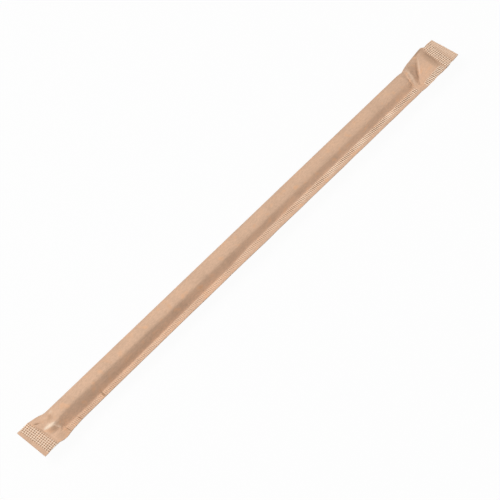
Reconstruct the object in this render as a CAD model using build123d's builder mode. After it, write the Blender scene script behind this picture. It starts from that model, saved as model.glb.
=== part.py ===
"""A drinking straw sealed in a kraft paper sleeve, lying on a table. Millimetres.

X runs along the straw, the near end at -X. The sleeve was closed flat: its plain fold, its
crimped side seam and both end seals lie about one plane through the straw's axis. The pack has
rolled on the table until the seam, on the -Y side, stands up. The origin is on the table under
the middle of the pack.
"""

import os
from math import acos, atan2, cos, degrees, hypot, radians, sin

from build123d import *

# Straw and paper
straw_diameter = 8.0
paper = 0.1
seam_height = 0.3
settle = 0.15

# Lengths along the pack, from the near end to the far end
near_seal = 5.6
near_gather = 5.7
round_length = 185.8
far_gather = 14.8
far_notch = 0.8
far_seal = 4.6

# Roll of the sleeve's plane, seam side up
roll = 20.0
near_roll = 19.0
far_roll = 26.0

# Across the sleeve's plane from the straw's axis: to the seam's root, its cut edge and the fold
seam_root = 4.8
seam_reach = 8.0
near_fold_reach = 6.9
near_seam_reach = 8.2
near_fold_bulge = 6.3
near_seam_bulge = 9.1
far_fold_reach = 7.0
far_seam_reach = 9.0
far_fold_bulge = 7.5
far_end_fold_reach = 6.8
far_end_seam_reach = 8.2

# Both ends are cut out of square. The far gather falls to a skewed valley: at the seam it is just
# past the sleeve's rim, at the fold it is well short of the bulge.
near_cut_skew = 0.6
far_cut_skew = -1.4
valley_seam_gap = 0.6
valley_fold_gap = 3.6

# Creases leave the round sleeve at these angles from the fold and end at these shares of the
# flattened ply, counted from the seam's root
upper_angles = (100, 60, 25, 8)
upper_shares = (0.14, 0.36, 0.58, 0.8)
lower_shares = (0.72, 0.5, 0.3, 0.14)
fold_angle = -8
lower_angle = -115

# Past each end of the straw the paper stands in a ridge or sinks to a rim before it folds down
near_ridge_run = 2.4
near_ridge_height = 2.9
far_rim_run = 0.8
far_rim_sink = 0.84

# Crimping: the seam is a fine ladder that goes on past the straw's far end, the end seals are a
# waffle, each with a plain margin
rib_pitch = 0.72
rib_groove = 0.5
rib_inset = 0.3
rib_margin = 0.8
far_ladder_start = 3.9
far_ladder = 7.2
waffle_pitch = 0.96
waffle_groove = 0.56
waffle_margin = 0.5
near_waffle = 4.9
far_waffle = 3.9
far_cut_margin = 1.5
crimp_depth = 0.12
crimp_overcut = 0.05

# Derived places
sleeve_radius = straw_diameter / 2 + paper
axis_z = sleeve_radius - settle
near_reach = near_seal + abs(near_cut_skew) / 2
far_reach = far_gather + far_notch + far_seal
length = near_reach + near_gather + round_length + far_reach
near_band = near_reach - length / 2
near_round = near_band + near_gather
far_round = near_round + round_length
far_rim = far_round + far_rim_run
seam_width = seam_reach - seam_root
half_seam = seam_height / 2

# The axis lies so that the pack's widest reaches, the near bulge of the seam and the far bulge of
# the fold, are equally far from the middle
seam_side = near_seam_bulge * cos(radians(roll)) + half_seam * sin(radians(roll))
fold_side = far_fold_bulge * cos(radians(far_roll)) + half_seam * sin(radians(far_roll))
axis_y = (seam_side - fold_side) / 2

# The panels beside the seam leave its root and touch the tube at this angle from the seam. The
# table flattens the tube a little, to either side of straight down.
panel_angle = degrees(acos(sleeve_radius / hypot(seam_root, half_seam)) + atan2(half_seam, seam_root))
rest_spread = degrees(acos(axis_z / sleeve_radius))
rest_angle = roll - 90


def across(x, turn):
    slope = radians(turn)
    return Plane(origin=(x, axis_y, axis_z), x_dir=(0, cos(slope), -sin(slope)), z_dir=(1, 0, 0))


def sheet(x, turn, towards=1):
    slope = radians(turn)
    return Plane(origin=(x, axis_y, axis_z), x_dir=(towards, 0, 0), z_dir=(0, sin(slope), cos(slope)))


def on_rim(angle):
    return sleeve_radius * cos(radians(angle)), sleeve_radius * sin(radians(angle))


def flat_points(seam, fold, stretch=1):
    root = seam_width - seam
    upper = [(root + share * (fold - root), half_seam) for share in upper_shares]
    lower = [(root + share * (fold - root), -half_seam) for share in lower_shares]
    edge = [(-seam, -half_seam), (-seam, half_seam), (root, half_seam)]
    points = [*edge, *upper, (fold, half_seam), (fold, -half_seam), *lower, (root, -half_seam)]
    return [(stretch * v, n) for v, n in points]


def between(first, second, share):
    return [(a + share * (c - a), b + share * (d - b)) for (a, b), (c, d) in zip(first, second)]


def widened(points, seam, fold):
    left, right = -min(v for v, _ in points), max(v for v, _ in points)
    return [(v * (fold / right if v > 0 else seam / left), n) for v, n in points]


def groove_points(width):
    half = width / 2 * (1 + crimp_overcut / crimp_depth)
    return [(-half, crimp_overcut), (0, -crimp_depth), (half, crimp_overcut)]


def crimped_flap(start, outline, waffle_start, waffle_length):
    """Both plies pressed flat along local X, with a waffle over part of that length. The cut runs
    between the outline's second and third points."""
    sides = [v for _, v in outline[1:3]]
    waffle_width = max(sides) - min(sides) - 2 * waffle_margin
    rows, columns = int(waffle_length / waffle_pitch), int(waffle_width / waffle_pitch)
    middle = start.from_local_coords(
        Vector(waffle_start + waffle_length / 2, (max(sides) + min(sides)) / 2, half_seam)
    )
    with BuildPart() as flap:
        with BuildSketch(start):
            with BuildLine():
                Polyline(*outline, close=True)
            make_face()
        extrude(amount=half_seam, both=True)
        with BuildSketch(Plane(middle, x_dir=start.x_dir, z_dir=-start.y_dir)):
            with GridLocations(waffle_pitch, 0, rows, 1):
                Polygon(*groove_points(waffle_groove), align=None)
        extrude(amount=waffle_width / 2, both=True, mode=Mode.SUBTRACT)
        with BuildSketch(Plane(middle, x_dir=start.y_dir, z_dir=start.x_dir)):
            with GridLocations(waffle_pitch, 0, columns, 1):
                Polygon(*groove_points(waffle_groove), align=None)
        extrude(amount=rows * waffle_pitch / 2, both=True, mode=Mode.SUBTRACT)
    return flap.part


def ladder(middle, root, run):
    """The grooves pressed across the seam, over a run of its length about a plane's origin."""
    start = middle.from_local_coords(Vector(0, -root - rib_inset, half_seam))
    with BuildPart() as grooves:
        with BuildSketch(Plane(start, x_dir=middle.x_dir, z_dir=-middle.y_dir)):
            with GridLocations(rib_pitch, 0, int(run / rib_pitch), 1):
                Polygon(*groove_points(rib_groove), align=None)
        extrude(amount=seam_width - rib_inset - rib_margin)
    return grooves.part


# Section of the round length: straw in its sleeve, a flat panel each side of the seam's root
arc_angles = [
    (180 - panel_angle, *upper_angles, fold_angle, rest_angle + rest_spread),
    (rest_angle - rest_spread, lower_angle, panel_angle - 180),
]
upper_rim, lower_rim = [[on_rim(angle) for angle in angles] for angles in arc_angles]
seam_edge = [
    (-seam_root, -half_seam),
    (-seam_reach, -half_seam),
    (-seam_reach, half_seam),
    (-seam_root, half_seam),
]
round_points = [*seam_edge[1:], *upper_rim, *lower_rim, seam_edge[0]]
rim_arcs = [
    CenterArc((0, 0), sleeve_radius, start, end - start)
    for angles in arc_angles
    for start, end in zip(angles, angles[1:])
]
panels = Polyline(lower_rim[-1], *seam_edge, upper_rim[0])
round_section = make_face([panels, *rim_arcs, Line(upper_rim[-1], lower_rim[0])])

# In the near gather one ridge stands up in the middle of the slope down to the flat seal
near_points = flat_points(near_seam_reach, near_fold_reach)
near_flat = make_face(Polyline(*near_points, close=True))
ridge_points = between(round_points, near_points, near_ridge_run / near_gather)
ridge_points = widened(ridge_points, near_seam_bulge, near_fold_bulge)
crest = round_points.index(upper_rim[1])
ridge_points[crest] = (ridge_points[crest][0], near_ridge_height)
near_ridge = make_face(Polyline(*ridge_points, close=True))

# In the far gather the sleeve sinks to a rim, then slopes to a valley skewed across its plane
rim_section = make_face(Polyline(*((v, far_rim_sink * n) for v, n in round_points), close=True))
far_bulge_run = far_gather - far_rim_run
valley_run = far_bulge_run - valley_fold_gap - valley_seam_gap
valley_span = far_fold_reach + far_seam_reach
far_points = flat_points(far_seam_reach, far_fold_reach, hypot(valley_run, valley_span) / valley_span)
far_flat = make_face(Polyline(*far_points, close=True))
far_sheet = sheet(far_rim, far_roll)
valley = Plane(
    origin=far_sheet.origin + far_sheet.x_dir * (valley_seam_gap + valley_run * far_seam_reach / valley_span),
    x_dir=far_sheet.x_dir * valley_run + far_sheet.y_dir * valley_span,
    z_dir=far_sheet.x_dir * valley_span - far_sheet.y_dir * valley_run,
)

# End flaps
near_end = crimped_flap(
    sheet(near_band, near_roll, -1),
    [
        (0, -near_fold_reach),
        (near_seal - near_cut_skew / 2, -near_fold_reach),
        (near_seal + near_cut_skew / 2, near_seam_reach),
        (0, near_seam_reach),
    ],
    0,
    near_waffle,
)
far_cut_run = far_reach - far_rim_run
far_end = crimped_flap(
    far_sheet,
    [
        (valley_seam_gap, -far_seam_reach),
        (far_cut_run + far_cut_skew, -far_end_seam_reach),
        (far_cut_run, far_end_fold_reach),
        (far_bulge_run + far_notch, far_end_fold_reach),
        (far_bulge_run, far_fold_bulge),
        (far_bulge_run - valley_fold_gap, far_fold_reach),
    ],
    far_cut_run + far_cut_skew / 2 - far_cut_margin - far_waffle,
    far_waffle,
)

# Ladders along the seam, on the round length and past the straw's far end
body_ladder = ladder(sheet(near_round + round_length / 2, roll), seam_root, round_length)
end_ladder = ladder(
    sheet(far_rim + far_ladder_start + far_ladder / 2, far_roll), far_seam_reach - seam_width, far_ladder
)

with BuildPart() as wrapped_straw:
    # Near seal, and the gather that opens from it to the straw's end
    add(near_end)
    loft(
        [
            across(near_round, roll) * round_section,
            across(near_round - near_ridge_run, roll) * near_ridge,
            across(near_band, near_roll) * near_flat,
        ],
        ruled=True,
    )

    # Far gather: a slope down to the valley, then both plies flat as far as the cut
    loft(
        [
            across(far_round, roll) * round_section,
            across(far_rim, roll) * rim_section,
            valley * far_flat,
        ],
        ruled=True,
    )
    add(far_end)
    add(end_ladder, mode=Mode.SUBTRACT)

    # Round length, its seam crimped across in a ladder from end to end
    with BuildSketch(across(near_round, roll)):
        add(round_section)
    extrude(amount=round_length)
    add(body_ladder, mode=Mode.SUBTRACT)

wrapped_straw.part.label = "wrapped_straw"
os.makedirs("parts", exist_ok=True)
export_step(wrapped_straw.part, "parts/wrapped_straw.step")
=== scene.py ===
from math import acos, cos, hypot, pi, radians, sin

import bmesh
import bpy
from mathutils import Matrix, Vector, noise


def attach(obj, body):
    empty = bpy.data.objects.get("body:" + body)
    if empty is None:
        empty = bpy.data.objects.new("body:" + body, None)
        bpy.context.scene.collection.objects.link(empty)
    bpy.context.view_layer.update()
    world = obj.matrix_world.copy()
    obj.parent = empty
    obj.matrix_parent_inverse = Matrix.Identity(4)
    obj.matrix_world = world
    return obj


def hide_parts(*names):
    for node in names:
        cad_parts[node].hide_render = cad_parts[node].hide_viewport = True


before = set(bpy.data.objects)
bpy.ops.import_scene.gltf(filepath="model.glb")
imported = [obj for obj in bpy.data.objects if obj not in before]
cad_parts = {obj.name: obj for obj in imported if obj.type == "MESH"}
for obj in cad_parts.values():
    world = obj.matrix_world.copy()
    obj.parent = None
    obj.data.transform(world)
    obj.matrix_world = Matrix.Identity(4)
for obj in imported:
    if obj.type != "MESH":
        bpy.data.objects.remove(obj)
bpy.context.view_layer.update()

# Paper sleeve: one web of thin uncoated kraft paper, wrapped round the straw and pressed shut.
# Its long edges meet in a seam crimped like a ladder, its ends are flattened and crimped in a waffle.
# The straw is sealed in and fills the sleeve, so only the sleeve shows. Sizes are in millimetres.
MM = 0.001
TUBE_RADIUS, HALF_PLIES = 4.1, 0.12

# Along the flat web: its ends, and the ends of its round length.
NEAR_END, NEAR_ROUND, FAR_ROUND, FAR_END = -108.8, -97.2, 86.4, 108.8

# The sleeve's plane goes through the straw's axis and is rolled, seam side up, by (along, degrees).
AXIS_Y, AXIS_Z = 0.898, 3.95
ROLLS = [(-102.9, 19), (NEAR_ROUND, 20), (89.4, 20), (95.6, 26)]


def ramp(value, marks):
    """Straight runs through marks of (value, what to give there, ...)."""
    low = marks[0]
    for high in marks[1:]:
        if value <= high[0]:
            break
        low = high
    if low is high:
        return high[1:]
    share = min(1, max(0, (value - low[0]) / (high[0] - low[0])))
    return tuple(a + share * (b - a) for a, b in zip(low[1:], high[1:]))


def ease(low, high, value):
    """Soft step from 0 at low to 1 at high."""
    share = min(1, max(0, (value - low) / (high - low)))
    return share * share * (3 - 2 * share)


# Across the web from the fold: paper on the round of the straw, a soft ridge where it stands off the
# straw, a flat panel down to the seam's root, and the seam. Ridge and root wander along it: (along, the
# ridge's angle from the fold and reach from the axis, reach of the root and the seam's edge, and how far
# the root dips below the sleeve's plane). The edge dips by a share of that.
SECTIONS = [
    (NEAR_ROUND, 138, 4.62, 5.2, 8.95, 0.3),
    (-94.8, 127, 4.8, 5.15, 8.25, 1.0),
    (-90, 126, 4.8, 5.15, 7.8, 1.15),
    (-60, 129, 4.75, 5.0, 7.6, 1.1),
    (-39, 133, 4.65, 4.85, 7.65, 0.9),
    (-12, 135, 4.45, 4.97, 7.75, 0.65),
    (-3, 137, 4.33, 4.6, 8.05, 0.1),
    (88.6, 139, 4.2, 4.7, 8.12, 0.0),
]
EDGE_DIP_SHARE = 0.6
ROUND_WEB, RIDGE_WEB, ROOT_WEB, EDGE_WEB = 7.4, 8.8, 13.2, 16.2
RIDGE_BEND = (RIDGE_WEB - 0.7, RIDGE_WEB + 0.7)
ROOT_BEND = (ROOT_WEB - 0.4, ROOT_WEB + 1.0)


def round_section(x, web, side):
    """Place across the round length, (towards the fold, away from the plane on the ply's side)."""
    ridge, ridge_radius, root, edge, dip = ramp(x, SECTIONS)
    ridge, dip = radians(ridge), side * dip
    leaves = ridge - acos(TUBE_RADIUS / ridge_radius)
    if web < ROUND_WEB:
        angle = web / ROUND_WEB * leaves
        return TUBE_RADIUS * cos(angle), TUBE_RADIUS * sin(angle)
    marks = [
        (ROUND_WEB, TUBE_RADIUS * cos(leaves), TUBE_RADIUS * sin(leaves)),
        (RIDGE_WEB, ridge_radius * cos(ridge), ridge_radius * sin(ridge)),
        (ROOT_WEB, -root, HALF_PLIES - dip),
        (EDGE_WEB, -edge, HALF_PLIES - EDGE_DIP_SHARE * dip),
    ]
    for bend, corner in zip((RIDGE_BEND, ROOT_BEND), marks[1:]):
        share = (web - bend[0]) / (bend[1] - bend[0])
        if 0 < share < 1:
            start, end = (ramp(bend_end, marks) for bend_end in bend)
            return tuple(
                (1 - share) ** 2 * a + 2 * share * (1 - share) * b + share ** 2 * c
                for a, b, c in zip(start, corner[1:], end)
            )
    return ramp(web, marks)


# Creases across each gather, on the upper and the lower ply, from the straw's end to the cut. Each runs
# from the fold to the seam's edge through (web, along, towards the fold, up from the plane). The last
# two are the start of the seal and the cut.
NEAR_UPPER = [
    [(0, -0.6, 5.7, 0.0), (2.2, -0.7, 4.4, 1.4), (4.3, -1.0, 2.8, 2.2), (6.5, -1.0, 0.0, 3.1),
     (8.8, -0.4, -3.3, 3.1), (10, -0.2, -3.85, 2.2), (11.5, -0.2, -4.5, 1.05), (13.2, -0.2, -5.4, 0.0),
     (16.2, -0.4, -9.2, 0.12)],
    [(0, -1.5, 6.1, 0.0), (2.2, -1.7, 4.7, 1.3), (4.3, -1.8, 3.0, 1.85), (6.5, -1.8, 0.0, 2.85),
     (8.8, -1.2, -3.3, 3.05), (10, -1.2, -4.0, 1.7), (11.5, -1.3, -4.8, 0.5), (13.2, -1.4, -6.0, 0.15),
     (16.2, -1.6, -9.35, 0.12)],
    [(0, -3.2, 6.6, 0.0), (2.2, -3.3, 4.8, 0.9), (3.7, -3.4, 3.4, 0.5), (6.5, -2.9, -0.7, 2.1),
     (8.8, -2.7, -2.6, 1.85), (10, -2.6, -3.6, 0.75), (11.5, -2.6, -4.6, 0.3), (13.2, -3.0, -6.2, 0.25),
     (16.2, -3.2, -9.15, 0.12)],
    [(0, -4.6, 6.85, 0.0), (2.2, -4.5, 5.0, 0.5), (3.4, -4.7, 3.9, 0.15), (4.4, -4.6, 2.9, 0.5),
     (6.5, -4.4, 0.6, 0.7), (8.3, -4.5, -1.2, 0.45), (10, -4.4, -2.9, 0.2), (13.2, -4.5, -5.8, 0.2),
     (16.2, -4.7, -8.55, 0.12)],
    [(0, -5.7, 7.15, 0.0), (0.3, -5.7, 6.85, 0.12), (16.2, -5.3, -8.5, 0.12)],
    [(0, -11.2, 7.2, 0.0), (0.3, -11.2, 6.9, 0.12), (16.2, -11.9, -8.7, 0.12)],
]
NEAR_LOWER = [
    [(0, -0.9, 5.85, 0.0), (4.3, -0.4, 2.4, -3.0), (8.8, -0.3, -2.4, -3.4), (13.2, -0.2, -5.5, -0.3),
     (16.2, -0.4, -9.2, -0.12)],
    [(0, -1.7, 6.2, 0.0), (4.3, -1.7, 3.2, -1.9), (8.8, -1.7, -1.4, -2.2), (13.2, -1.7, -6.2, -0.2),
     (16.2, -1.6, -9.35, -0.12)],
    [(0, -3.2, 6.6, 0.0), (4.3, -3.2, 3.2, -1.0), (8.8, -3.2, -1.3, -1.2), (13.2, -3.2, -6.2, -0.2),
     (16.2, -3.2, -9.15, -0.12)],
    [(0, -4.6, 6.85, 0.0), (4.3, -4.6, 3.0, -0.5), (13.2, -4.6, -5.8, -0.15),
     (16.2, -4.7, -8.55, -0.12)],
    [(0, -5.7, 7.15, 0.0), (0.3, -5.7, 6.85, -0.12), (16.2, -5.7, -8.5, -0.12)],
    [(0, -11.2, 7.2, 0.0), (0.3, -11.2, 6.9, -0.12), (16.2, -11.9, -8.7, -0.12)],
]
FAR_UPPER = [
    [(0, 2.4, 4.3, 0.0), (2.2, 2.7, 3.2, 2.1), (4.3, 2.4, 1.3, 3.4), (6.5, 1.3, -1.3, 3.3),
     (8.8, 0.9, -2.9, 2.2), (11, 0.7, -3.9, 0.8), (13.2, 0.8, -5.0, 0.25), (16.2, 0.9, -8.05, 0.12)],
    [(0, 3.6, 4.85, 0.0), (2.2, 3.4, 3.4, 2.2), (4.3, 3.1, 1.5, 3.6), (6.5, 1.9, -1.2, 3.65),
     (8.8, 1.4, -3.0, 2.65), (11, 1.1, -4.2, 1.2), (13.2, 1.2, -5.3, 0.3), (16.2, 1.3, -8.1, 0.12)],
    [(0, 5.6, 5.7, 0.05), (2.2, 5.7, 4.1, 1.75), (4.3, 5.4, 2.3, 3.0), (6.5, 3.75, -0.4, 3.4),
     (8.8, 3.15, -2.8, 2.6), (11, 2.45, -4.4, 1.25), (13.2, 2.5, -5.7, 0.3), (16.2, 2.5, -8.2, 0.12)],
    [(0, 8.2, 6.6, 0.1), (2.2, 8.6, 4.55, 1.1), (4.3, 7.3, 2.45, 1.75), (6.5, 5.55, -0.05, 1.95),
     (8.8, 4.4, -2.45, 1.5), (11, 3.15, -4.3, 0.75), (13.2, 2.65, -5.9, 0.25), (16.2, 2.65, -8.3, 0.12)],
    [(0, 14.0, 7.5, 0.15), (1.5, 12.9, 5.75, 0.3), (4.3, 9.6, 2.65, 0.2), (8.8, 5.9, -2.0, 0.15),
     (11, 4.0, -4.2, 0.15), (13.2, 2.8, -6.2, 0.15), (16.2, 2.8, -8.4, 0.12)],
    [(0, 15.8, 7.75, 0.15), (1.5, 14.4, 6.0, 0.85), (4.3, 12.4, 2.75, 1.2), (8.8, 9.4, -1.8, 1.2),
     (13.2, 7.2, -6.1, 0.35), (16.2, 6.8, -9.0, 0.12)],
    [(0, 17.3, 7.8, 0.15), (1.5, 15.9, 6.0, 0.85), (4.3, 14.9, 2.8, 1.25), (8.8, 14.1, -1.6, 1.25),
     (13.2, 13.0, -6.0, 0.5), (16.2, 12.5, -9.05, 0.12)],
    [(0, 18.2, 6.9, 0.0), (0.3, 17.9, 6.6, 0.12), (1.5, 17.0, 5.4, 0.12), (4.3, 16.2, 2.9, 0.12),
     (8.8, 15.5, -1.4, 0.12), (13.2, 14.5, -5.9, 0.12), (16.2, 13.9, -8.95, 0.12)],
    [(0, 22.6, 6.95, 0.0), (0.3, 22.6, 6.65, 0.12), (16.2, 21.4, -8.2, 0.12)],
]
FAR_LOWER = [
    [(0, 2.6, 4.4, 0.0), (4.3, 2.2, 2.2, -3.1), (8.8, 2.0, -2.4, -3.3), (13.2, 1.4, -5.1, -0.3),
     (16.2, 0.9, -8.1, -0.12)],
    [(0, 8.2, 6.6, 0.0), (4.3, 6.9, 2.45, -1.5), (8.8, 4.4, -2.15, -1.7), (13.2, 2.4, -5.8, -0.24),
     (16.2, 2.1, -8.3, -0.12)],
    [(0, 13.6, 7.4, 0.0), (4.3, 9.8, 2.6, -0.5), (8.8, 5.9, -2.0, -0.7), (13.2, 3.0, -6.2, -0.2),
     (16.2, 2.8, -8.4, -0.12)],
    [(0, 16.9, 7.75, 0.0), (4.3, 14.6, 2.8, -0.5), (8.8, 13.7, -1.6, -0.5),
     (16.2, 12.5, -9.05, -0.12)],
    [(0, 18.2, 6.9, 0.0), (0.3, 18.0, 6.6, -0.12), (4.3, 16.3, 2.9, -0.12), (8.8, 15.6, -1.4, -0.12),
     (16.2, 14.2, -8.95, -0.12)],
    [(0, 22.6, 6.95, 0.0), (0.3, 22.6, 6.65, -0.12), (16.2, 21.4, -8.2, -0.12)],
]
NEAR_GATHER = (NEAR_ROUND, NEAR_END, NEAR_UPPER, NEAR_LOWER)
FAR_GATHER = (FAR_ROUND, FAR_END, FAR_UPPER, FAR_LOWER)


def gathered(gather, x, web, side):
    """Place of the web past the straw's end, (along, towards the fold, up from the plane)."""
    start, web_end, upper, lower = gather
    creases = upper if side > 0 else lower
    v, n = round_section(start, web, side)
    run, low_run, low = x - start, 0, (0, v, side * n)
    for crease in creases:
        high = ramp(web, crease)
        high_run = web_end - start if crease is creases[-1] else high[0]
        if abs(run) <= abs(high_run) or crease is creases[-1]:
            break
        low_run, low = high_run, high
    share = min(1, max(0, (run - low_run) / (high_run - low_run)))
    along, v, n = (a + share * (b - a) for a, b in zip(low, high))
    return start + along, v, n


# Crimping presses both plies together into ribs with pits between: a ladder along the seam, a waffle on
# the seals. A crimp is about 1 on its ribs, below 0 in its pits, and 0 where paper is plain. It also
# colours the paper: ribs paler, partly from crimping and partly a painted highlight, and pits darkened
# with painted shade.
CRIMP_HEIGHT = 0.14


def plateau(value, rise, full, fade, gone):
    """Soft step up from rise to full, and down again from fade to gone."""
    return ease(rise, full, value) * (1 - ease(fade, gone, value))


# The ladder is a band across the seam from its root, with deeper pits in the middle of the band. It gets
# stronger towards the far end, and nearer the root from the middle of the near half on. Past the straw's
# far end it starts again, wider and strong.
RIB_PITCH, PIT_SIDES = 0.72, (0.66, 1)
LADDER_BAND, DEEPER_BAND = (0.4, 0.8, 2.1, 2.5), (0.6, 1.1, 1.6, 2.1)
PIT_DEPTH, DEEPER_BY = 1.7, 1.0
LADDER_RUN = (NEAR_ROUND - 1, NEAR_ROUND + 3, FAR_ROUND, FAR_ROUND + 1)
LADDER_STRENGTH, STRONGER_BY, STRONGER_RUN = 0.36, 0.9, (-10, 85)
INWARD_BY, INWARD_RUN = 0.45, (-60, -30)
END_RUN = (FAR_ROUND + 3.8, FAR_ROUND + 4.6, FAR_ROUND + 13, FAR_ROUND + 14.5)
END_STRENGTH, END_WIDER_BY = 1.5, 0.5


def ladder(x, web):
    """Bars across the seam with a pit between each two."""
    end = plateau(x, *END_RUN)
    body = plateau(x, *LADDER_RUN) * (LADDER_STRENGTH + STRONGER_BY * ease(*STRONGER_RUN, x))
    across = web - ROOT_WEB + INWARD_BY * ease(*INWARD_RUN, x) * (1 - end)
    rise, full, fade, gone = LADDER_BAND
    wider = END_WIDER_BY * end
    band = plateau(across, rise - wider, full - wider, fade + wider, gone + wider)
    depth = PIT_DEPTH + DEEPER_BY * plateau(across, *DEEPER_BAND)
    bars = 1 - depth * ease(*PIT_SIDES, abs(sin(pi * x / RIB_PITCH)))
    return max(body, END_STRENGTH * end) * band * bars


# The waffle has square pits in rows that lean a little. The near one is weaker and stops short of the
# cut, the far one goes on faintly as far as the cut.
WAFFLE_ALONG, WAFFLE_ACROSS, WAFFLE_SIDES = 0.79, 1.03, (0.2, 0.88)
WAFFLE_FADE, WAFFLE_LEAN = 0.2, 0.12
NEAR_WAFFLE_END, NEAR_WAFFLE_STRENGTH = 10.15, 0.85
FAR_WAFFLE_LENGTH, FAR_WAFFLE_BEYOND = 3.95, 0.3


def waffle(run, v, start, end, strength, beyond):
    """Waffle from the start to the end of its run, with a share of it beyond."""
    into = run - start
    faded = (1 - beyond) * ease(-WAFFLE_FADE, 0, run - end)
    band = strength * ease(0, WAFFLE_FADE, into) * (1 - faded)
    along = abs(sin(pi * into / WAFFLE_ALONG))
    across = abs(sin(pi * (v + WAFFLE_LEAN * into) / WAFFLE_ACROSS))
    return band * (1 - 2 * ease(*WAFFLE_SIDES, min(along, across)))


def crimped(x, web, v):
    """The crimp of the seal or of the seam at this place."""
    near_seal, far_seal = ramp(web, NEAR_UPPER[-2])[0], ramp(web, FAR_UPPER[-2])[0]
    if x < NEAR_ROUND + near_seal:
        return waffle(NEAR_ROUND - x, v, -near_seal, NEAR_WAFFLE_END, NEAR_WAFFLE_STRENGTH, 0)
    if x > FAR_ROUND + far_seal:
        end = far_seal + FAR_WAFFLE_LENGTH
        return waffle(x - FAR_ROUND, v, far_seal, end, 1, FAR_WAFFLE_BEYOND)
    return ladder(x, web)


# Marks on the upper ply: painted highlights on the ridges of the gathers, painted shade along their
# pinched lines and on some slopes and panels, and real dents, with the seam kinked in places: (along,
# web, how far the mark leans along per web, half width, half length, painted light, lighter above 0 and
# darker below, how high).
PAINTED_LIGHT_AND_DENTS = [
    (-99.8, 8.3, 1.4, 1.7, 1.3, 0.95, 0.1),
    (-100.5, 7.4, 0.0, 1.4, 1.0, 0.6, 0.0),
    (-99.8, 10.3, 0.0, 2.3, 1.3, -0.35, 0.0),
    (-98.0, 10.7, 0.5, 0.45, 2.2, 0.5, 0.1),
    (-98.1, 6.7, 0.0, 1.7, 1.1, -0.3, -0.12),
    (-96.2, 5.8, 0.0, 1.1, 0.9, 0.3, 0.0),
    (-101.3, 5.2, 0.0, 2.2, 2.4, -0.12, 0.0),
    (-99.0, 13.6, 0.0, 2.6, 2.6, -0.15, 0.0),
    (-85.0, 15.0, 0.0, 28.0, 2.6, -0.16, 0.0),
    (-64.0, 12.25, 0.0, 34.0, 0.8, -0.32, 0.0),
    (-101.6, 3.3, 1.2, 0.45, 1.1, -0.8, -0.25),
    (-102.5, 8.0, 0.03, 0.4, 6.5, -0.4, -0.05),
    (-96.2, 14.7, 0.05, 0.35, 1.8, -0.5, -0.2),
    (-90.3, 14.7, 0.1, 0.35, 1.8, -0.6, -0.2),
    (-78.4, 14.4, -0.1, 0.45, 2.2, -0.8, -0.25),
    (86.2, 11.2, -0.6, 1.4, 1.8, -0.2, -0.1),
    (89.1, 7.5, -0.34, 0.6, 5.0, 0.35, 0.0),
    (94.1, 6.3, -0.92, 0.9, 4.8, -0.45, 0.0),
    (95.5, 6.3, -0.92, 0.5, 4.6, 0.45, 0.0),
    (100.5, 8.0, -0.19, 2.0, 8.0, -0.4, 0.0),
    (101.3, 0.4, 0.0, 2.8, 1.2, -0.6, 0.0),
    (107.4, 8.0, -0.09, 1.5, 16.0, 0.25, 0.0),
]


def light_shade_and_dents(x, web):
    """Painted light and shade on the upper ply, and how high it stands at its dents and kinks."""
    painted_light = high = 0
    for along, middle, lean, half_width, half_length, tone, height in PAINTED_LIGHT_AND_DENTS:
        off = web - middle
        reach = ((x - along - lean * off) / half_width) ** 2 + (off / half_length) ** 2
        painted_light += tone * max(0, 1 - reach)
        high += height * max(0, 1 - reach) ** 2
    return painted_light, high


# Paper that stands off the sleeve's plane is softly crinkled, by noise of (height, length along, length
# across, seed). Paper that lies in the plane is slightly warped.
OFF_PLANE = (0.3, 1.5)
CRINKLES = [(0.03, 7, 3, 1), (0.015, 2, 1.5, 5)]
WARP_HEIGHT, WARP_LENGTH, WARP_SEED = 0.12, 6, 9


def place(x, web, side):
    """World place of a point of the web, and its painted light and shade from crimp and marks, -1 to 1.
    """
    if NEAR_ROUND <= x <= FAR_ROUND:
        v, n = round_section(x, web, side)
        along, n = x, side * n
    else:
        along, v, n = gathered(NEAR_GATHER if x < NEAR_ROUND else FAR_GATHER, x, web, side)
    crimp = crimped(along, web, v)
    # Painted light and shade of the marks, on the upper ply only.
    painted_light, high = light_shade_and_dents(along, web) if side > 0 else (0, 0)
    stands_off = ease(*OFF_PLANE, abs(n))
    crinkle = sum(
        height * noise.noise((x / length, side * web / width, seed))
        for height, length, width, seed in CRINKLES
    )
    swell = 1 + stands_off * crinkle / (hypot(v, n) or 1)
    v, n = v * swell, n * swell
    n += CRIMP_HEIGHT * crimp + high
    warp = WARP_HEIGHT * noise.noise((x / WARP_LENGTH, v / WARP_LENGTH, WARP_SEED))
    n += (1 - stands_off) * warp
    slope = radians(ramp(along, ROLLS)[0])
    y = AXIS_Y + v * cos(slope) + n * sin(slope)
    z = AXIS_Z - v * sin(slope) + n * cos(slope)
    return Vector((along, y, max(0, z))), min(1, max(-1, crimp + painted_light))


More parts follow.
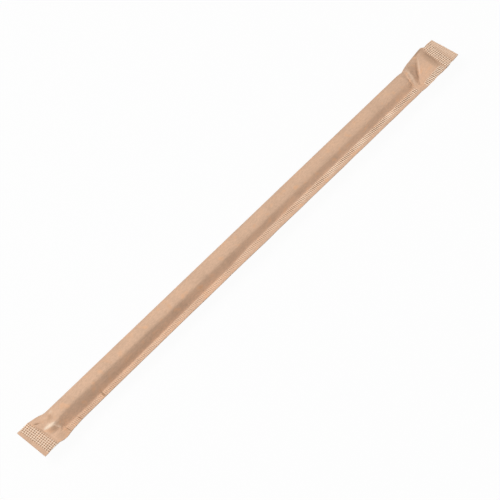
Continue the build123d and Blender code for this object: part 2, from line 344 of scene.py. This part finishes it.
# The web starts as a flat grid, with lines on the straw's ends, the ridges and the seam's root, each
# given by (number of the line, where it lies). It is divided finely where it gets crimped or gathered,
# then wrapped.
ROWS = [(0, NEAR_END), (16, NEAR_ROUND), (274, FAR_ROUND), (302, FAR_END)]
COLUMNS = [
    (0, 0),
    (9, ROUND_WEB),
    (10, RIDGE_BEND[0]),
    (14, RIDGE_BEND[1]),
    (17, ROOT_BEND[0]),
    (21, ROOT_BEND[1]),
    (28, EDGE_WEB),
]
NEAR_FINE, FAR_FINE = NEAR_ROUND + 1.5, FAR_ROUND - 1.5
NEAR_FINEST, FAR_FINEST = NEAR_ROUND - 5.5, FAR_ROUND + 11.5
TINY = 1e-4
sleeve = bmesh.new()
bmesh.ops.create_grid(sleeve, x_segments=ROWS[-1][0], y_segments=2 * COLUMNS[-1][0], size=1)
for vert in sleeve.verts:
    row = (vert.co.x + 1) / 2 * ROWS[-1][0]
    column = vert.co.y * COLUMNS[-1][0]
    web = ramp(abs(column), COLUMNS)[0]
    vert.co = (ramp(row, ROWS)[0], web if column > 0 else -web, 0)


def in_gathers(x, web):
    return x < NEAR_FINE or x > FAR_FINE


def in_end_crimps(x, web):
    return x < NEAR_FINEST or x > FAR_FINEST or (x > FAR_FINE and abs(web) > ROOT_WEB)


def in_ladder(x, web):
    return abs(web) > ROOT_WEB and NEAR_FINE < x < FAR_FINE


def divide(chosen, cuts, along_only=False):
    """Divides the web's faces that are chosen by the place of their middle."""
    faces = [face for face in sleeve.faces if chosen(*face.calc_center_median().xy)]
    edges = dict.fromkeys(edge for face in faces for edge in face.edges)
    if along_only:
        edges = [edge for edge in edges if abs(edge.verts[0].co.y - edge.verts[1].co.y) < TINY]
    bmesh.ops.subdivide_edges(sleeve, edges=list(edges), cuts=cuts, use_grid_fill=True)


divide(in_gathers, 2)
divide(in_end_crimps, 1)
divide(in_ladder, 3, along_only=True)

# Each point's painted light and shade: crimp ribs paler with a painted highlight, painted shade in pits,
# and the marks' painted highlights and shade.
crimp_and_painted_light = sleeve.verts.layers.float.new("crimp_and_painted_light")
web_map = sleeve.loops.layers.uv.new("web")
flat = {vert: vert.co.copy() for vert in sleeve.verts}
for vert, spot in flat.items():
    vert.co, vert[crimp_and_painted_light] = place(spot.x, abs(spot.y), 1 if spot.y >= 0 else -1)

# The two plies end in one cut edge, round both ends and along the seam. What is left open at each end
# of the fold is filled, and sharp creases keep a hard edge.
SHARP_CREASE = radians(40)
rim = [edge for edge in sleeve.edges if edge.is_boundary]
cut_sides = [edge for edge in rim if all(abs(flat[vert].y) > TINY for vert in edge.verts)]
bmesh.ops.bridge_loops(sleeve, edges=cut_sides)
bmesh.ops.holes_fill(sleeve, edges=[edge for edge in sleeve.edges if edge.is_boundary])
bmesh.ops.recalc_face_normals(sleeve, faces=sleeve.faces)
for face in sleeve.faces:
    face.smooth = True
    for loop in face.loops:
        loop[web_map].uv = flat[loop.vert].xy * MM
for edge in sleeve.edges:
    edge.smooth = edge.calc_face_angle(0) < SHARP_CREASE
bmesh.ops.scale(sleeve, vec=(MM, MM, MM), verts=sleeve.verts)

sleeve_mesh = bpy.data.meshes.new("paper_sleeve")
sleeve.to_mesh(sleeve_mesh)
sleeve.free()
paper_sleeve = bpy.data.objects.new("paper_sleeve", sleeve_mesh)
bpy.context.scene.collection.objects.link(paper_sleeve)

# Kraft paper: matt brown fibres that run along the web, mottled, with peach flecks.
# Crimp ribs are paler, partly from crimping and partly a painted highlight; the gathers' ridges carry
# painted highlights, and pits and pinched lines carry painted shade.
kraft = bpy.data.materials.new("kraft_paper")
kraft.use_nodes = True
nodes, links = kraft.node_tree.nodes, kraft.node_tree.links
paper = nodes["Principled BSDF"]
paper.inputs["Specular IOR Level"].default_value = 0.25
web_coordinates = nodes.new("ShaderNodeUVMap")
web_coordinates.uv_map = "web"


def speckle(scale, stretch, detail):
    """Noise over the flat web, its scale per metre, longer along the web by the stretch."""
    mapping = nodes.new("ShaderNodeMapping")
    mapping.inputs["Scale"].default_value = (scale / stretch, scale, 1)
    links.new(web_coordinates.outputs["UV"], mapping.inputs["Vector"])
    texture = nodes.new("ShaderNodeTexNoise")
    texture.inputs["Scale"].default_value = 1
    texture.inputs["Detail"].default_value = detail
    links.new(mapping.outputs["Vector"], texture.inputs["Vector"])
    return texture.outputs["Fac"]


def shades(fac, *stops):
    """Colours through stops of (position, colour)."""
    band = nodes.new("ShaderNodeValToRGB")
    elements = band.color_ramp.elements
    while len(elements) < len(stops):
        elements.new(0.5)
    for element, (position, colour) in zip(elements, stops):
        element.position = position
        element.color = (*colour, 1)
    links.new(fac, band.inputs["Fac"])
    return band.outputs["Color"]


def layered(kind, fac, below, above):
    """One colour over another, by a fixed share or by what a socket gives."""
    mix = nodes.new("ShaderNodeMix")
    mix.data_type, mix.blend_type = "RGBA", kind
    if isinstance(fac, float):
        mix.inputs["Factor"].default_value = fac
    else:
        links.new(fac, mix.inputs["Factor"])
    links.new(below, mix.inputs["A"])
    links.new(above, mix.inputs["B"])
    return mix.outputs["Result"]


mottle = shades(
    speckle(130, 1.2, 3),
    (0.30, (0.64, 0.422, 0.29)),
    (0.52, (0.70, 0.462, 0.318)),
    (0.70, (0.745, 0.478, 0.318)),
)
fibres = shades(speckle(2000, 2.5, 4), (0.3, (0.9, 0.9, 0.9)), (0.7, (1.06, 1.06, 1.06)))
long_fibres = shades(
    speckle(7500, 5, 2),
    (0.32, (0.89, 0.88, 0.87)),
    (0.42, (1.0, 1.0, 1.0)),
    (0.6, (1.0, 1.0, 1.0)),
    (0.7, (1.08, 1.08, 1.08)),
)
colour = layered("MULTIPLY", 1.0, layered("MULTIPLY", 1.0, mottle, fibres), long_fibres)
flecks = shades(speckle(420, 1.3, 1), (0.58, (0.0, 0.0, 0.0)), (0.76, (0.8, 0.8, 0.8)))
peach = shades(speckle(900, 1.5, 2), (0.3, (0.74, 0.43, 0.25)), (0.7, (0.80, 0.48, 0.30)))
colour = layered("MIX", flecks, colour, peach)
# Crimp ribs: paler paper with a painted highlight. Pits: painted shade.
RIB_PALER_AND_HIGHLIGHT_TONE, PIT_PAINTED_SHADE_TONE = (0.95, 0.76, 0.59), (0.3, 0.18, 0.105)
crimp_and_painted_light_share = nodes.new("ShaderNodeAttribute")
crimp_and_painted_light_share.attribute_name = "crimp_and_painted_light"
for sign, tone in ((1, RIB_PALER_AND_HIGHLIGHT_TONE), (-1, PIT_PAINTED_SHADE_TONE)):
    share = nodes.new("ShaderNodeMath")
    share.operation = "MULTIPLY"
    share.use_clamp = True
    share.inputs[1].default_value = sign
    links.new(crimp_and_painted_light_share.outputs["Fac"], share.inputs[0])
    darker, lighter = (tuple(gain * channel for channel in tone) for gain in (0.92, 1.04))
    patchy = shades(speckle(700, 2, 2), (0.3, darker), (0.7, lighter))
    colour = layered("MIX", share.outputs["Value"], colour, patchy)
links.new(colour, paper.inputs["Base Color"])
rough = nodes.new("ShaderNodeMapRange")
rough.inputs["To Min"].default_value = 0.74
rough.inputs["To Max"].default_value = 0.92
links.new(speckle(1500, 4, 2), rough.inputs["Value"])
links.new(rough.outputs["Result"], paper.inputs["Roughness"])
grain = nodes.new("ShaderNodeBump")
grain.inputs["Strength"].default_value = 0.35
grain.inputs["Distance"].default_value = 0.00006
links.new(speckle(3200, 6, 5), grain.inputs["Height"])
links.new(grain.outputs["Normal"], paper.inputs["Normal"])
sleeve_mesh.materials.append(kraft)

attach(paper_sleeve, "root")
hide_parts("wrapped_straw")

# Floor: a plain white matt table, far larger than the view.
# What is seen of it is almost all an even white, so it keeps only a faint shadow of the pack.
FLOOR_HALF_SIZE, EVEN_WHITE_SHARE = 3, 0.96


def background_rays(tree):
    """Gives 1 to the rays that show what is behind the pack and 0 to those that light it."""
    path = tree.nodes.new("ShaderNodeLightPath")
    shown = path.outputs["Is Camera Ray"]
    for ray in ("Is Glossy Ray", "Is Transmission Ray"):
        either = tree.nodes.new("ShaderNodeMath")
        either.operation = "MAXIMUM"
        tree.links.new(shown, either.inputs[0])
        tree.links.new(path.outputs[ray], either.inputs[1])
        shown = either.outputs["Value"]
    return shown


floor_shape = bmesh.new()
bmesh.ops.create_grid(floor_shape, x_segments=1, y_segments=1, size=FLOOR_HALF_SIZE)
floor_mesh = bpy.data.meshes.new("floor")
floor_shape.to_mesh(floor_mesh)
floor_shape.free()
floor = bpy.data.objects.new("floor", floor_mesh)
bpy.context.scene.collection.objects.link(floor)
white = bpy.data.materials.new("white_table")
white.use_nodes = True
tree = white.node_tree
tree.nodes.clear()
table = tree.nodes.new("ShaderNodeBsdfDiffuse")
table.inputs["Color"].default_value = (0.7, 0.7, 0.7, 1)
glow = tree.nodes.new("ShaderNodeEmission")
seen_share = tree.nodes.new("ShaderNodeMath")
seen_share.operation = "MULTIPLY"
seen_share.inputs[1].default_value = EVEN_WHITE_SHARE
blend = tree.nodes.new("ShaderNodeMixShader")
surface = tree.nodes.new("ShaderNodeOutputMaterial")
tree.links.new(background_rays(tree), seen_share.inputs[0])
tree.links.new(seen_share.outputs["Value"], blend.inputs["Fac"])
tree.links.new(table.outputs["BSDF"], blend.inputs[1])
tree.links.new(glow.outputs["Emission"], blend.inputs[2])
tree.links.new(blend.outputs["Shader"], surface.inputs["Surface"])
floor_mesh.materials.append(white)

# Light: a white room all round, which is seen as plain white and lights the pack only weakly.
# A large soft lamp hangs above the fold's side, and a small weak one stands by the seam's far end.
ROOM_LIGHT = 0.23
world = bpy.data.worlds.new("white_room")
bpy.context.scene.world = world
world.use_nodes = True
room = world.node_tree.nodes["Background"]
room.inputs["Color"].default_value = (1, 1, 1, 1)
strength = world.node_tree.nodes.new("ShaderNodeMapRange")
strength.inputs["To Min"].default_value = ROOM_LIGHT
strength.inputs["To Max"].default_value = 1
world.node_tree.links.new(background_rays(world.node_tree), strength.inputs["Value"])
world.node_tree.links.new(strength.outputs["Result"], room.inputs["Strength"])

for name, place_of_lamp, size, energy in (
    ("soft_lamp", (-0.33, 0.30, 0.82), 0.5, 7.0),
    ("fill_lamp", (0.22, -0.16, 0.18), 0.2, 0.14),
):
    lamp = bpy.data.lights.new(name, "AREA")
    lamp.size = size
    lamp.energy = energy
    lamp_stand = bpy.data.objects.new(name, lamp)
    lamp_stand.location = place_of_lamp
    lamp_stand.rotation_euler = (-lamp_stand.location).to_track_quat("-Z", "Y").to_euler()
    bpy.context.scene.collection.objects.link(lamp_stand)

# Camera: above the pack and turned from it as in the photograph, with a long lens about a metre away.
# It aims a little off the middle of the pack, as it was fitted to the outline there.
AZIMUTH, ELEVATION, DISTANCE = radians(-47.05), radians(63.6), 0.968
AIM_HEIGHT, AIM_RIGHT, AIM_DOWN = 0.004, 0.00133, 0.00388
SENSOR_WIDTH, FOCAL_LENGTH = 36, 194.6
back = Vector((sin(AZIMUTH) * cos(ELEVATION), -cos(AZIMUTH) * cos(ELEVATION), sin(ELEVATION)))
right = Vector((cos(AZIMUTH), sin(AZIMUTH), 0))
aim = Vector((0, 0, AIM_HEIGHT)) + AIM_RIGHT * right - AIM_DOWN * back.cross(right)
lens = bpy.data.cameras.new("camera")
lens.sensor_width = SENSOR_WIDTH
lens.lens = FOCAL_LENGTH
camera = bpy.data.objects.new("camera", lens)
camera.location = aim + DISTANCE * back
camera.rotation_euler = back.to_track_quat("Z", "Y").to_euler()
bpy.context.scene.collection.objects.link(camera)
bpy.context.scene.camera = camera
bpy.context.scene.view_settings.view_transform = "Standard"
